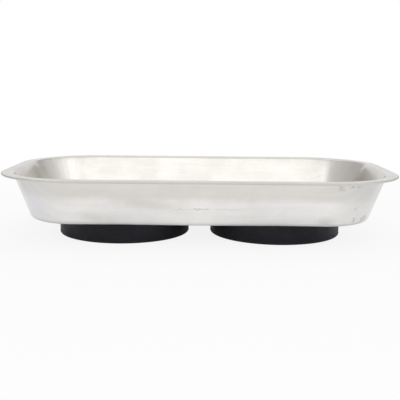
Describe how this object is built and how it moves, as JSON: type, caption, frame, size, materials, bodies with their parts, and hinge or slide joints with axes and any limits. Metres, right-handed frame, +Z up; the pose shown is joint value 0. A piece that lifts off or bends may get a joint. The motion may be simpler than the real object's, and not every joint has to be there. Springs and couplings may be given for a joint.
{
  "type": "magnetic parts tray",
  "caption": "Rectangular stainless parts tray with leaning walls, round corners and a folded flat rim, on rubber-covered ring magnets that grip a steel surface and hold loose fasteners.",
  "frame": {"origin": "on the surface that the tray stands on, under the middle of the tray", "axes": "+X along the tray's length, +Y across it, +Z up out of the open side"},
  "size_m": [0.24, 0.14, 0.0415],
  "materials": {
    "stainless_sheet": "satin",
    "black_rubber": "matte",
    "ferrite": "matte",
    "plate_steel": "satin",
    "fastener_steel": "satin"
  },
  "bodies": {
    "root": {"tray_pan": "stainless_sheet", "left_foot_cover": "black_rubber", "right_foot_cover": "black_rubber", "left_ring_magnet": "ferrite", "right_ring_magnet": "ferrite", "left_backing_plate": "plate_steel", "right_backing_plate": "plate_steel", "left_screw": "fastener_steel", "right_screw": "fastener_steel", "left_lock_washer": "fastener_steel", "right_lock_washer": "fastener_steel", "left_hex_nut": "fastener_steel", "right_hex_nut": "fastener_steel"}
  },
  "joints": []
}
